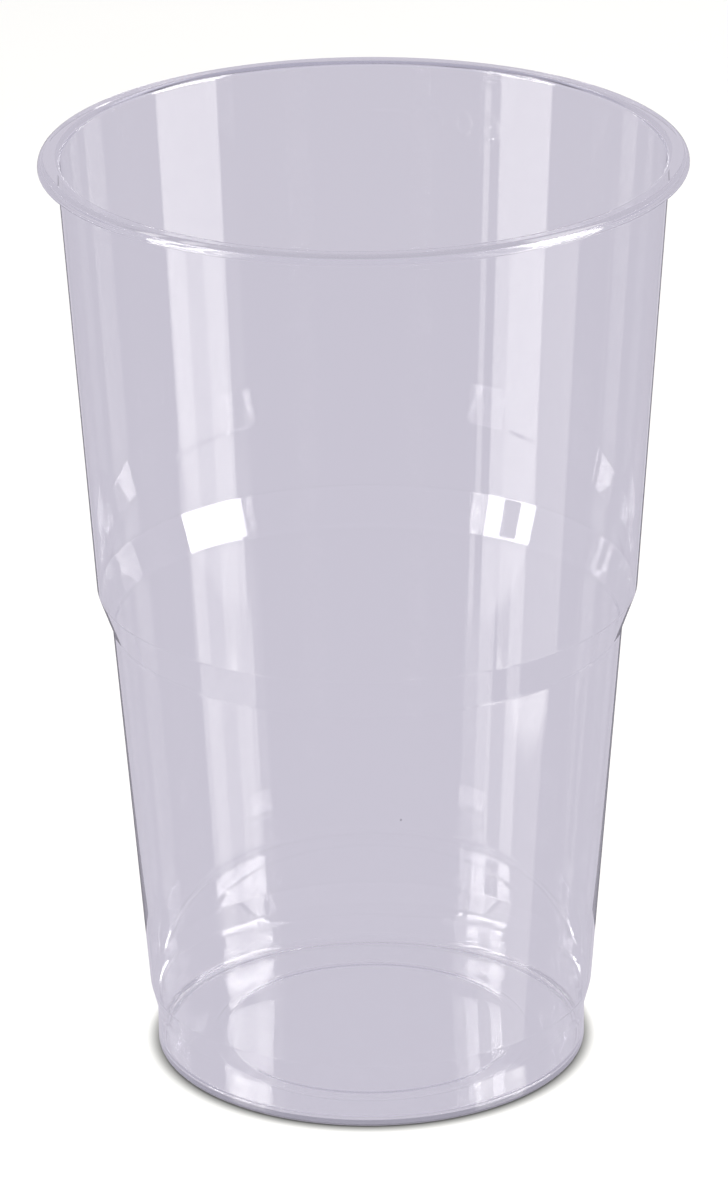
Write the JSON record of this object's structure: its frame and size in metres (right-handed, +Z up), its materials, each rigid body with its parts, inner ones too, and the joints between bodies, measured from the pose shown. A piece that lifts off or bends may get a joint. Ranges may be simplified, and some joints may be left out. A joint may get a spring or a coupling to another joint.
{
  "type": "plastic disposable cup",
  "caption": "Clear moulded plastic drinking cup with a flat flanged rim, a tapered wall with a shoulder half way up, and a stepped foot with a raised floor.",
  "frame": {"origin": "middle of the base, on the surface that the cup stands on", "axes": "+Z up along the cup's axis, through the middle of the mouth; the cup is round, so +X and +Y are any two level directions"},
  "size_m": [0.095, 0.095, 0.142],
  "materials": {
    "clear_plastic": "clear moulded polystyrene, smooth and glossy, with a faint cool lavender tint"
  },
  "bodies": {
    "root": {"cup": "clear_plastic"}
  },
  "joints": []
}
